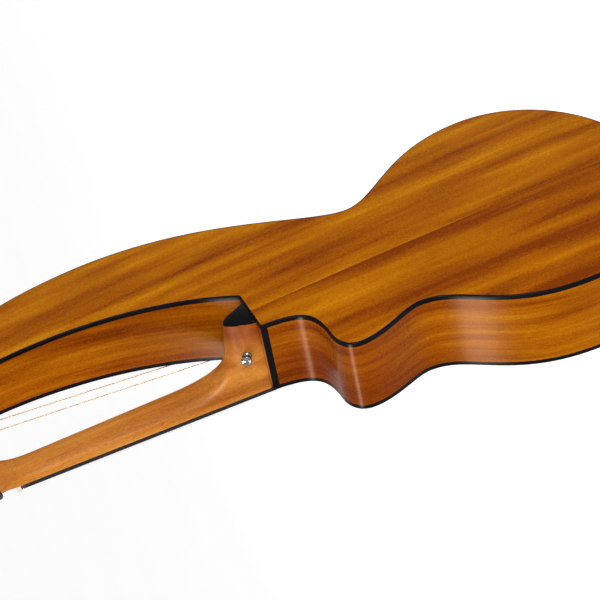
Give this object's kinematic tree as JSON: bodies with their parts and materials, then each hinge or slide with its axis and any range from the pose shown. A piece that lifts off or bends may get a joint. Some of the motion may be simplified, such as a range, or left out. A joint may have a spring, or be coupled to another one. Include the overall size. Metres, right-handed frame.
{
  "type": "harp guitar",
  "caption": "Flat-top guitar with a cutaway, a separate glued heel neck, and a hollow bass arm that carries extra sub-bass strings on its own geared head.",
  "frame": {"origin": "middle of the nut on the plane of the soundboard, where the fork of a wall hanger holds the neck below the headstock", "axes": "+Z from the tail to the headstock, -Y out of the soundboard towards the player's hand, +Y out of the domed back, +X towards the treble side"},
  "size_m": [0.418, 0.1312, 1.0823],
  "materials": {
    "spruce_top": "satin-gloss spruce, straight fine grain down the body",
    "mahogany": "orange-brown mahogany, ribbon streaks, satin-gloss lacquer",
    "neck_mahogany": "lighter brown mahogany, satin lacquer",
    "rosewood": "bare rosewood",
    "ebony": "oiled black ebony with metal frets",
    "black_binding": "polished black binding",
    "bone": "polished bone",
    "string_steel": "plain steel",
    "string_bronze": "bronze wound on steel",
    "tuner_nickel": "polished nickel",
    "tuner_button": "black buttons on nickel shafts",
    "chrome": "polished chrome"
  },
  "bodies": {
    "instrument": {"arm_head": "mahogany", "back_binding": "black_binding", "back_plate": "mahogany", "bridge": "ebony", "bridge_plate": "rosewood", "cutaway_trim": "black_binding", "fingerboard": "ebony", "harp_tuner_plate": "tuner_nickel", "heel_cap": "black_binding", "neck": "neck_mahogany", "neck_block": "mahogany", "nut": "bone", "saddle": "bone", "side_arm": "mahogany", "side_bass": "mahogany", "side_treble": "mahogany", "soundboard": "spruce_top", "strap_button_heel": "chrome", "strap_button_tail": "chrome", "string_1": "string_steel", "string_2": "string_steel", "string_3": "string_bronze", "string_4": "string_bronze", "string_5": "string_bronze", "string_6": "string_bronze", "sub_bass_nut": "bone", "sub_bass_saddle": "bone", "sub_bass_string_1": "string_bronze", "sub_bass_string_2": "string_bronze", "sub_bass_string_3": "string_bronze", "sub_bass_string_4": "string_bronze", "sub_bass_string_5": "string_bronze", "tail_block": "mahogany", "top_binding": "black_binding", "top_brace": "spruce_top", "truss_rod": "string_steel", "tuner_plate_bass": "tuner_nickel", "tuner_plate_treble": "tuner_nickel"},
    "neck_button_1": {"neck_button_1": "tuner_button"},
    "neck_post_1": {"neck_post_1": "tuner_nickel"},
    "neck_button_2": {"neck_button_2": "tuner_button"},
    "neck_post_2": {"neck_post_2": "tuner_nickel"},
    "neck_button_3": {"neck_button_3": "tuner_button"},
    "neck_post_3": {"neck_post_3": "tuner_nickel"},
    "neck_button_4": {"neck_button_4": "tuner_button"},
    "neck_post_4": {"neck_post_4": "tuner_nickel"},
    "neck_button_5": {"neck_button_5": "tuner_button"},
    "neck_post_5": {"neck_post_5": "tuner_nickel"},
    "neck_button_6": {"neck_button_6": "tuner_button"},
    "neck_post_6": {"neck_post_6": "tuner_nickel"},
    "harp_button_1": {"harp_button_1": "tuner_button"},
    "harp_post_1": {"harp_post_1": "tuner_nickel"},
    "harp_button_2": {"harp_button_2": "tuner_button"},
    "harp_post_2": {"harp_post_2": "tuner_nickel"},
    "harp_button_3": {"harp_button_3": "tuner_button"},
    "harp_post_3": {"harp_post_3": "tuner_nickel"},
    "harp_button_4": {"harp_button_4": "tuner_button"},
    "harp_post_4": {"harp_post_4": "tuner_nickel"},
    "harp_button_5": {"harp_button_5": "tuner_button"},
    "harp_post_5": {"harp_post_5": "tuner_nickel"}
  },
  "joints": [
    {"name": "neck_button_1_turn", "type": "hinge", "parent": "instrument", "child": "neck_button_1", "pos_m": [-0.023, 0.02748, 0.03551], "axis": [-1, 0, 0], "continuous": true},
    {"name": "neck_post_1_turn", "type": "hinge", "parent": "instrument", "child": "neck_post_1", "pos_m": [-0.023, 0.02496, 0.04595], "axis": [0, 0.9744, -0.225], "continuous": true},
    {"name": "neck_button_2_turn", "type": "hinge", "parent": "instrument", "child": "neck_button_2", "pos_m": [-0.023, 0.03693, 0.07644], "axis": [-1, 0, 0], "continuous": true},
    {"name": "neck_post_2_turn", "type": "hinge", "parent": "instrument", "child": "neck_post_2", "pos_m": [-0.023, 0.03441, 0.08687], "axis": [0, 0.9744, -0.225], "continuous": true},
    {"name": "neck_button_3_turn", "type": "hinge", "parent": "instrument", "child": "neck_button_3", "pos_m": [-0.023, 0.04638, 0.11736], "axis": [-1, 0, 0], "continuous": true},
    {"name": "neck_post_3_turn", "type": "hinge", "parent": "instrument", "child": "neck_post_3", "pos_m": [-0.023, 0.04386, 0.12779], "axis": [0, 0.9744, -0.225], "continuous": true},
    {"name": "neck_button_4_turn", "type": "hinge", "parent": "instrument", "child": "neck_button_4", "pos_m": [0.023, 0.04638, 0.11736], "axis": [1, 0, 0], "continuous": true},
    {"name": "neck_post_4_turn", "type": "hinge", "parent": "instrument", "child": "neck_post_4", "pos_m": [0.023, 0.04386, 0.12779], "axis": [0, 0.9744, -0.225], "continuous": true},
    {"name": "neck_button_5_turn", "type": "hinge", "parent": "instrument", "child": "neck_button_5", "pos_m": [0.023, 0.03693, 0.07644], "axis": [1, 0, 0], "continuous": true},
    {"name": "neck_post_5_turn", "type": "hinge", "parent": "instrument", "child": "neck_post_5", "pos_m": [0.023, 0.03441, 0.08687], "axis": [0, 0.9744, -0.225], "continuous": true},
    {"name": "neck_button_6_turn", "type": "hinge", "parent": "instrument", "child": "neck_button_6", "pos_m": [0.023, 0.02748, 0.03551], "axis": [1, 0, 0], "continuous": true},
    {"name": "neck_post_6_turn", "type": "hinge", "parent": "instrument", "child": "neck_post_6", "pos_m": [0.023, 0.02496, 0.04595], "axis": [0, 0.9744, -0.225], "continuous": true},
    {"name": "harp_button_1_turn", "type": "hinge", "parent": "instrument", "child": "harp_button_1", "pos_m": [-0.11799, 0.04669, 0.17366], "axis": [-0.854, 0.0724, 0.5151], "continuous": true},
    {"name": "harp_post_1_turn", "type": "hinge", "parent": "instrument", "child": "harp_post_1", "pos_m": [-0.113, 0.04308, 0.18245], "axis": [0, 0.9903, -0.1392], "continuous": true},
    {"name": "harp_button_2_turn", "type": "hinge", "parent": "instrument", "child": "harp_button_2", "pos_m": [-0.13474, 0.04286, 0.14643], "axis": [-0.854, 0.0724, 0.5151], "continuous": true},
    {"name": "harp_post_2_turn", "type": "hinge", "parent": "instrument", "child": "harp_post_2", "pos_m": [-0.12975, 0.03925, 0.15522], "axis": [0, 0.9903, -0.1392], "continuous": true},
    {"name": "harp_button_3_turn", "type": "hinge", "parent": "instrument", "child": "harp_button_3", "pos_m": [-0.15149, 0.03904, 0.1192], "axis": [-0.854, 0.0724, 0.5151], "continuous": true},
    {"name": "harp_post_3_turn", "type": "hinge", "parent": "instrument", "child": "harp_post_3", "pos_m": [-0.1465, 0.03542, 0.12798], "axis": [0, 0.9903, -0.1392], "continuous": true},
    {"name": "harp_button_4_turn", "type": "hinge", "parent": "instrument", "child": "harp_button_4", "pos_m": [-0.16824, 0.03521, 0.09197], "axis": [-0.854, 0.0724, 0.5151], "continuous": true},
    {"name": "harp_post_4_turn", "type": "hinge", "parent": "instrument", "child": "harp_post_4", "pos_m": [-0.16325, 0.0316, 0.10075], "axis": [0, 0.9903, -0.1392], "continuous": true},
    {"name": "harp_button_5_turn", "type": "hinge", "parent": "instrument", "child": "harp_button_5", "pos_m": [-0.18499, 0.03138, 0.06473], "axis": [-0.854, 0.0724, 0.5151], "continuous": true},
    {"name": "harp_post_5_turn", "type": "hinge", "parent": "instrument", "child": "harp_post_5", "pos_m": [-0.18, 0.02777, 0.07352], "axis": [0, 0.9903, -0.1392], "continuous": true}
  ],
  "couplings": [
    {"joint": "neck_post_1_turn", "follows": "neck_button_1_turn", "ratio": 0.066667},
    {"joint": "neck_post_2_turn", "follows": "neck_button_2_turn", "ratio": 0.066667},
    {"joint": "neck_post_3_turn", "follows": "neck_button_3_turn", "ratio": 0.066667},
    {"joint": "neck_post_4_turn", "follows": "neck_button_4_turn", "ratio": 0.066667},
    {"joint": "neck_post_5_turn", "follows": "neck_button_5_turn", "ratio": 0.066667},
    {"joint": "neck_post_6_turn", "follows": "neck_button_6_turn", "ratio": 0.066667},
    {"joint": "harp_post_1_turn", "follows": "harp_button_1_turn", "ratio": 0.066667},
    {"joint": "harp_post_2_turn", "follows": "harp_button_2_turn", "ratio": 0.066667},
    {"joint": "harp_post_3_turn", "follows": "harp_button_3_turn", "ratio": 0.066667},
    {"joint": "harp_post_4_turn", "follows": "harp_button_4_turn", "ratio": 0.066667},
    {"joint": "harp_post_5_turn", "follows": "harp_button_5_turn", "ratio": 0.066667}
  ]
}
